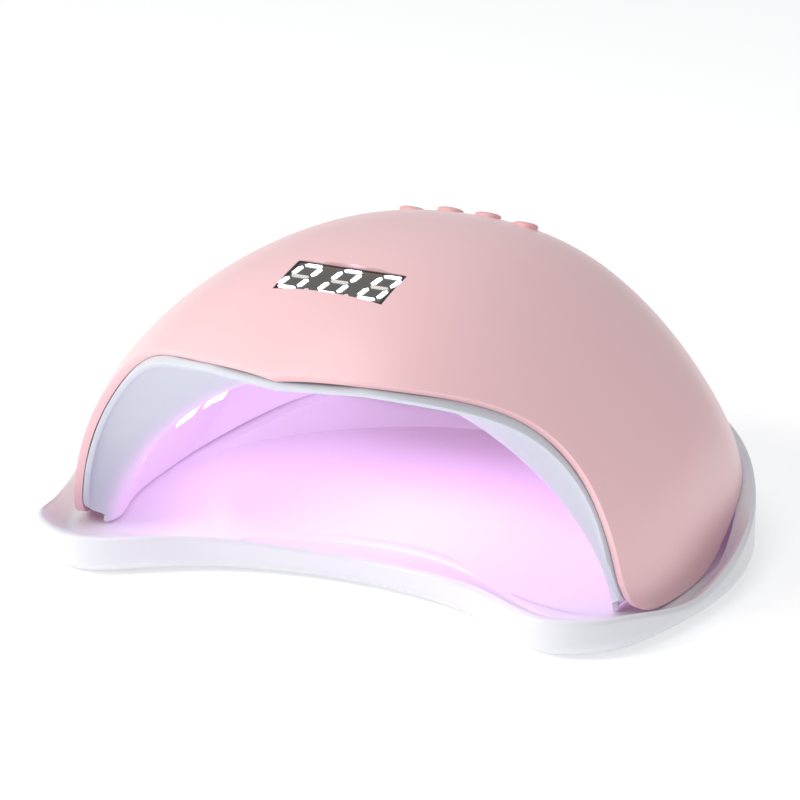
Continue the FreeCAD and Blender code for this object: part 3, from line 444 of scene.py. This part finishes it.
# Side windows: y and z on the chamber's wall. Top windows: x and y. Each cutter's width, length and depth.
SIDE_LIGHTS = ((-32.0, 26.0), (-15.0, 26.5), (2.0, 23.5), (2.0, 34.5), (20.0, 23.5), (20.0, 34.5))
TOP_LIGHTS = [(x, y) for y in (-16.0, 6.0, 28.0) for x in (-20.0, 0.0, 20.0)]
SENSOR = (-37.5, 19.5)
SIDE_CUT, SENSOR_CUT, TOP_CUT_RADIUS = (7.3, 13.3, 9), (2.6, 5.2, 8), 3.6


def wall_place(side, y, z):
    """Place on the chamber's inner wall, its Z axis out of the chamber."""
    def reach(v):
        return ARCH_HALF * (1 - (v / ARCH_HEIGHT) ** 1.8) ** (1 / 1.8)
    lean = math.atan(reach(z - 0.5) - reach(z + 0.5))
    return (Matrix.Translation(Vector((side * reach(z), y, z)) * MM)
            @ Matrix.Rotation(side * (math.pi / 2 - lean), 4, "Y"))


def light_cutters():
    cutters = []
    for side in (-1, 1):
        for y, z in SIDE_LIGHTS:
            cutters.append(box("cutter", SIDE_CUT, wall_place(side, y, z), 1.6, 4))
        cutters.append(box("cutter", SENSOR_CUT, wall_place(side, *SENSOR), 0.8, 3))
    for x, y in TOP_LIGHTS:
        cutters.append(peg("cutter", TOP_CUT_RADIUS, 12, spot(Matrix.Identity(4), x, y, ARCH_HEIGHT - 2), 40))
    return cutters


def make_chamber():
    sizes = spline([(y, ARCH_HALF + w, ARCH_HEIGHT + h, f) for y, w, h, f in FLARE])

    def section(y):
        return [np.interp(y, sizes[:, 0], sizes[:, k]) for k in (1, 2, 3)]

    def wall_point(turn, y):
        half, top, full = section(y)
        foot = 4.0 + (skirt_z(y) if y > -40 else 0)
        start = math.asin((foot / top) ** (full / 2))
        a = start + (math.pi - 2 * start) * turn
        c, s = math.cos(a), math.sin(a)
        return np.array([-math.copysign(abs(c) ** (2 / full), c) * half, y, abs(s) ** (2 / full) * top])

    snug, deep = profile_line(MOUTH_INSET), profile_line(CHAMBER_INSET)

    def inside_dome(p):
        """Share of the way out to the liner's limit: close under the shell at the mouth, deeper behind."""
        share = min(1.0, max(0.0, (p[1] + 40) / 45))
        inset = MOUTH_INSET + (CHAMBER_INSET - MOUTH_INSET) * share
        az = np.interp(abs(p[0]) / (HALF_WIDTH - inset), ARCH_X, ARCH_Z)
        py, pz = (p[1] - CENTRE_Y) / max(az, 1e-3), (p[2] - CENTRE_Z) / max(az, 1e-3)
        angle = math.degrees(math.atan2(pz, py)) % 360
        near, far = (np.interp(angle, known, np.hypot(*line.T), period=360) for known, line in (snug, deep))
        return math.hypot(py, pz) / (near + (far - near) * share)

    right = ARCH_LINE[ARCH_LINE[:, 0] >= 0]
    order = np.argsort(right[:, 0])
    ARCH_X, ARCH_Z = right[order, 0], right[order, 1]

    def settled(turn, y):
        p = wall_point(turn, y)
        hub = np.array([0, y, 14.0])
        low, high = 0.0, 1.0
        if inside_dome(p) <= 1:
            return p
        for _ in range(24):
            mid = (low + high) / 2
            if inside_dome(hub + (p - hub) * mid) <= 1:
                low = mid
            else:
                high = mid
        return hub + (p - hub) * low

    lines = []
    for turn in np.linspace(0, 1, 161):
        low, high = -97.9, -44.0
        for _ in range(40):
            mid = (low + high) / 2
            p = settled(turn, mid)
            set_back = mid - SETBACK
            if set_back > visor_y(abs(p[0])) and (set_back < SWOOP[0][0] or p[2] > swoop_z(set_back)):
                high = mid
            else:
                low = mid
        mouth = np.array([settled(turn, y) for y in np.linspace(high, -44, 60)])
        throat = np.array([settled(turn, y) for y in np.linspace(-44, CHAMBER_REAR, 90)])
        end = throat[-1]
        hub = np.array([0, CHAMBER_REAR, 24.0])
        back = np.array([end + (hub - end) * s for s in np.linspace(0, 1, 14)])
        lines.append(np.vstack([even(mouth, 36), even(throat, 60)[1:], back[1:]]))
    chamber = draped_grid("chamber_liner", lines)
    chamber.data.flip_normals()
    middle = [p for p in chamber.data.polygons if p.center.z > 0.055 and abs(p.center.x) < 0.01]
    if sum(p.normal.z for p in middle) > 0:
        chamber.data.flip_normals()
    apply_modifier(chamber, "SOLIDIFY", thickness=LINER_WALL * MM, offset=-1)
    apply_modifier(chamber, "BEVEL", width=0.4 * MM, segments=2, limit_method="ANGLE", angle_limit=math.radians(60))
    carve(chamber, [joined("window_cutters", light_cutters())])
    smooth(chamber, 40)
    wear(chamber, chamber_white)
    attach(chamber, "lamp")
    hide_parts("inner_chamber")


def tray_ring(share, z_of, count=360):
    """A closed ring round the tray: share 0 on its outer wall, 1 on the seat's edge."""
    right = [(o[0] + (s[0] - o[0]) * share, o[1] + (s[1] - o[1]) * share) for o, s in APRON]
    quarter = [(s * math.cos(math.radians(18 * i)), s * math.sin(math.radians(18 * i))) for i, s in enumerate(ARCH)]
    side = 2.0 * (1 - share) - SHELL_WALL * share
    rear = 3.9 * (1 - share) - SHELL_WALL * share
    right += [((HALF_WIDTH + side) * x, CENTRE_Y + (PROFILE[0][1] + rear) * z) for x, z in quarter[1:] + [(0, 1.0)]]
    ring = right[-1:] + [(-x, y) for x, y in right[-2:0:-1]] + right[:-1]
    line = even(spline(ring, closed=True, samples=40), count + 1)[:-1]
    return np.column_stack([line, z_of(line[:, 1])])


def inward(ring, distance):
    """A ring moved towards its own inside by a distance."""
    flat = ring[:, :2]
    along = np.roll(flat, -1, axis=0) - np.roll(flat, 1, axis=0)
    along /= np.linalg.norm(along, axis=1)[:, None]
    normal = np.column_stack([-along[:, 1], along[:, 0]])
    centre = flat.mean(axis=0)
    sign = np.sign(np.sum(normal * (centre - flat), axis=1).sum())
    return flat + normal * sign * distance


def make_tray():
    def seat_z(y):
        return np.maximum(3.2, np.where(y < -20, 3.2, swoop_z(y) - 0.7))

    outer = tray_ring(0.0, lambda y: 0 * y + 0.8)
    rows = []
    for k in range(8):
        a = math.pi / 2 * k / 7
        flat = inward(outer, 5.0 * (1 - math.sin(a)))
        rows.append(np.column_stack([flat, np.full(len(flat), 0.8 + 5.0 * (1 - math.cos(a)))]))
    top = crease_z(outer[:, 1])
    for k in range(1, 4):
        rows.append(np.column_stack([outer[:, :2], 5.8 + (top - 1.4 - 5.8) * k / 3]))
    for k in range(1, 7):
        a = math.pi / 2 * k / 6
        flat = inward(outer, 1.4 * (1 - math.cos(a)))
        rows.append(np.column_stack([flat, top - 1.4 + 1.4 * math.sin(a)]))
    for share in np.linspace(0.22, 1.0, 14):
        ring = tray_ring(share, lambda y: 0 * y)
        ease = (1 - math.cos(math.pi * min(1, (share - 0.12) / 0.88))) / 2
        ease = 0.55 * ease + 0.45 * (share - 0.12) / 0.88
        ring[:, 2] = crease_z(ring[:, 1]) * (1 - ease) + seat_z(ring[:, 1]) * ease
        rows.append(ring)
    edge = rows[-1]
    hub = np.array([0, 8.0, 3.2])
    for k in (0.985, 0.96, 0.93, 0.90, 0.885):
        inner = hub + (edge - hub) * k
        inner[:, 2] = np.maximum(3.2, 3.5 + np.where(inner[:, 1] > -40, skirt_z(inner[:, 1]), 0))
        rows.append(inner)
    for k in np.linspace(0.875, 0.0, 20):
        inner = hub + (edge - hub) * k
        inner[:, 2] = 3.2
        rows.append(inner)
    under = [np.column_stack([hub[:2] + (rows[0][:, :2] - hub[:2]) * k, np.full(len(outer), 0.8)])
             for k in (0.0, 0.5, 0.9)]
    rows = under + rows
    rows = [np.vstack([r, r[:1]]) for r in rows]
    tray = draped_grid("hand_tray", rows)
    smooth(tray, 50)
    wear(tray, tray_white)
    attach(tray, "base")
    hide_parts("base_tray")


def button_top(x):
    """Height of the dome over the button frame on a button's axis."""
    inverse = BUTTONS.inverted()
    ax = x / HALF_WIDTH
    right = ARCH_LINE[ARCH_LINE[:, 0] >= 0]
    az = np.interp(abs(ax), np.sort(right[:, 0]), right[np.argsort(right[:, 0]), 1])
    strip = dome_strip(ax, az, 0.0, np.linspace(30, 110, 1500))
    local = np.array([inverse @ (Vector(p) * MM) for p in strip]) / MM
    return local[np.argmin(abs(local[:, 1])), 2]


def make_button(i, x):
    """A domed cap: a cylinder whose top is inset and raised in rings."""
    crown = 0.9
    middle = button_top(x) + BUTTON_PROUD - crown - BUTTON_DEPTH / 2
    cap = peg("button_cap_%d" % i, BUTTON_RADIUS, BUTTON_DEPTH, spot(BUTTONS, x, 0, middle), 64)
    axis = (BUTTONS.to_3x3() @ Vector((0, 0, 1))).normalized()
    bpy.ops.object.mode_set(mode="EDIT")
    bpy.ops.mesh.select_all(action="DESELECT")
    bpy.ops.object.mode_set(mode="OBJECT")
    for face in cap.data.polygons:
        face.select = face.normal.dot(axis) > 0.9
    bpy.ops.object.mode_set(mode="EDIT")
    bpy.ops.mesh.select_mode(type="FACE")
    for inset, rise in ((0.25, 0.28), (0.45, 0.26), (0.8, 0.22), (1.0, 0.11), (1.0, 0.03)):
        bpy.ops.mesh.inset(thickness=inset * MM, depth=0)
        bpy.ops.transform.translate(value=axis * rise * MM)
    bpy.ops.object.mode_set(mode="OBJECT")
    smooth(cap, 50)
    wear(cap, button_pink)
    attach(cap, "button_%d" % i)
    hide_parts("timer_button_%d" % i)


def digit_bar(name, start, end, thick, lean, lit):
    """One lit bar: a six-sided slab with pointed ends, leaning with its digit."""
    deselect()
    bpy.ops.mesh.primitive_cylinder_add(vertices=6, radius=1, depth=0.3)
    bar = bpy.context.object
    bar.name = bar.data.name = name
    (x0, y0), (x1, y1) = start, end
    along = Vector((x1 - x0, y1 - y0, 0))
    half, h = along.length / 2, thick / 2
    corners = [(-half, 0), (-half + h, h), (half - h, h), (half, 0), (half - h, -h), (-half + h, -h)]
    along.normalize()
    across = Vector((-along.y, along.x, 0))
    ring = sorted(bar.data.vertices, key=lambda v: (round(v.co.z, 3), -math.atan2(v.co.y, v.co.x)))
    for k, v in enumerate(ring):
        u, w = corners[k % 6]
        p = Vector(((x0 + x1) / 2, (y0 + y1) / 2, 0)) + along * u + across * w
        v.co = Vector((p.x + p.y * lean, p.y, -0.15 if k < 6 else 0.1)) * MM
    bar.data.transform(spot(DISPLAY, 0, 0, -1.6))
    even_normals(bar)
    bar.data.materials.append(lit_segment if lit else dim_segment)
    return bar


def make_digits():
    """Three slanted digits and the two points between them."""
    tall, wide, thick, pitch = 13.4, 7.4, 1.55, 12.2
    lean, gap = math.tan(math.radians(9)), 0.16
    bars, points = [], []
    for d in (-1, 0, 1):
        cx = d * pitch
        for level, y in (("low", -tall / 2), ("middle", 0), ("high", tall / 2)):
            bars.append(digit_bar("bar", (cx - wide / 2 + thick / 2 + gap, y), (cx + wide / 2 - thick / 2 - gap, y),
                                  thick, lean, level != "middle"))
        for low, high in ((-tall / 2, 0), (0, tall / 2)):
            for side in (-1, 1):
                x = cx + side * (wide - thick) / 2
                bars.append(digit_bar("bar", (x, low + thick / 2 + gap), (x, high - thick / 2 - gap), thick, lean,
                                      True))
    for d in (-1, 0):
        dot = peg("dot", 0.7, 0.3, spot(DISPLAY, (d + 0.5) * pitch - tall / 2 * lean, -tall / 2, -1.65), 24)
        dot.data.materials.append(dim_segment)
        points.append(dot)
    digits = joined("display_digits", bars + points)
    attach(digits, "lamp")
    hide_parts("display_segments")


def make_display_face():
    rim = box("display_rim", (32.9, 16.9, 0.8), spot(DISPLAY, 0, 0, -2.3))
    hollow = box("rim_cutter", (31.9, 15.9, 3), spot(DISPLAY, 0, 0, -2.0))
    carve(rim, [hollow])
    wear(rim, display_black)
    face = box("display_panel", (32.5, 16.5, 0.5), spot(DISPLAY, 0, 0, -1.95), 0.1)
    wear(face, display_glass)
    for piece in (rim, face):
        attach(piece, "lamp")
    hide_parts("display_face")


make_shell()
make_chamber()
make_tray()
for number, place_x in enumerate(BUTTON_XS, 1):
    make_button(number, place_x)
make_digits()
make_display_face()

finishes = {
    "chamber_white": chamber_white, "display_black": display_black, "lens_clear": lens_glow,
    "foot_rubber": moulded_grain(material("foot_rubber", (0.035, 0.035, 0.038), 0.7), 1200, 0.05),
    "board_green": moulded_grain(material("board_green", (0.03, 0.12, 0.06), 0.4), 600, 0.02),
    "component_black": moulded_grain(material("component_black", (0.02, 0.02, 0.02), 0.5), 900, 0.02),
    "chip_yellow": moulded_grain(material("chip_yellow", (0.75, 0.55, 0.15), 0.35), 900, 0.02),
    "sensor_dark": moulded_grain(material("sensor_dark", (0.015, 0.008, 0.015), 0.15), 900, 0.01),
    "inlet_black": moulded_grain(material("inlet_black", (0.015, 0.015, 0.015), 0.25), 900, 0.02),
    "pin_metal": moulded_grain(material("pin_metal", (0.7, 0.7, 0.7), 0.25, Metallic=1.0), 900, 0.01),
    "magnet_metal": moulded_grain(material("magnet_metal", (0.6, 0.6, 0.62), 0.2, Metallic=1.0), 700, 0.01),
    "screw_steel": moulded_grain(material("screw_steel", (0.55, 0.55, 0.57), 0.3, Metallic=1.0), 900, 0.01),
    "lead_black": moulded_grain(material("lead_black", (0.02, 0.02, 0.02), 0.45), 900, 0.02),
    "base_white": tray_white, "shell_pink": satin_pink, "button_pink": button_pink,
    "display_grey": display_glass, "segment_white": lit_segment,
}
for part in frame["record"]["subparts"]:
    piece = nodes[part["node"]]
    for place in piece.material_slots:
        place.material = finishes[part["material_slot"]]

# Studio: pale floor, soft light and the photograph's camera.

deselect()
bpy.ops.mesh.primitive_plane_add(size=8)
floor = bpy.context.object
floor.name = floor.data.name = "studio_floor"
floor.data.materials.append(glow(material("studio_floor", (0.9, 0.9, 0.9), 0.9), (1, 1, 1), 0.32))


def studio_world():
    """Plain white behind the lamp, and a dimmer room for light and reflections."""
    world = bpy.data.worlds.new("studio")
    bpy.context.scene.world = world
    world.use_nodes = True
    tree = world.node_tree
    room = tree.nodes["Background"]
    room.inputs["Color"].default_value = (0.95, 0.97, 1.0, 1)
    room.inputs["Strength"].default_value = 0.44
    white = tree.nodes.new("ShaderNodeBackground")
    white.inputs["Color"].default_value = (1, 1, 1, 1)
    rays, pick = tree.nodes.new("ShaderNodeLightPath"), tree.nodes.new("ShaderNodeMixShader")
    tree.links.new(rays.outputs["Is Camera Ray"], pick.inputs[0])
    tree.links.new(room.outputs[0], pick.inputs[1])
    tree.links.new(white.outputs[0], pick.inputs[2])
    tree.links.new(pick.outputs[0], tree.nodes["World Output"].inputs["Surface"])


studio_world()
bpy.context.scene.view_settings.view_transform = "Standard"


def softbox(name, place, aim, size, power, colour=(1, 1, 1)):
    lamp = bpy.data.lights.new(name, "AREA")
    lamp.shape = "RECTANGLE"
    lamp.size, lamp.size_y = size
    lamp.energy, lamp.color = power, colour
    obj = bpy.data.objects.new(name, lamp)
    bpy.context.collection.objects.link(obj)
    obj.location = place
    obj.rotation_mode = "QUATERNION"
    obj.rotation_quaternion = (Vector(aim) - Vector(place)).to_track_quat("-Z", "Y")
    return obj


softbox("key_left", (-0.85, -0.75, 0.75), (0, -0.03, 0.06), (0.6, 0.6), 9.5, (1.0, 0.97, 0.94))
softbox("top_soft", (-0.1, -0.2, 1.2), (0, 0, 0.05), (0.9, 0.9), 4.2)
softbox("fill_front", (0.3, -1.3, 0.35), (0, 0, 0.03), (0.9, 0.5), 1.4, (0.94, 0.96, 1.0))
softbox("chamber_glow", (0, 0.0, 0.0585), (0, -0.012, 0.0), (0.08, 0.05), 0.07, (1.0, 0.5, 0.95))

photo = bpy.data.cameras.new("photo_view")
camera = bpy.data.objects.new("photo_view", photo)
bpy.context.collection.objects.link(camera)
AZ, EL, DISTANCE = math.radians(25.36552301), math.radians(20.08138453), 1.27110323
ahead = Vector((-math.sin(AZ) * math.cos(EL), math.cos(AZ) * math.cos(EL), -math.sin(EL)))
camera.location = Vector((0, -0.048, 0.045)) - ahead * DISTANCE
camera.rotation_mode = "QUATERNION"
camera.rotation_quaternion = ahead.to_track_quat("-Z", "Y")
photo.sensor_width = 36
photo.lens = 36 * 3.53738745 * 1271.10323 / 800
photo.shift_x = 52.57483 / 800
photo.shift_y = 35.32807 / 800
photo.clip_end = 50
bpy.context.scene.camera = camera
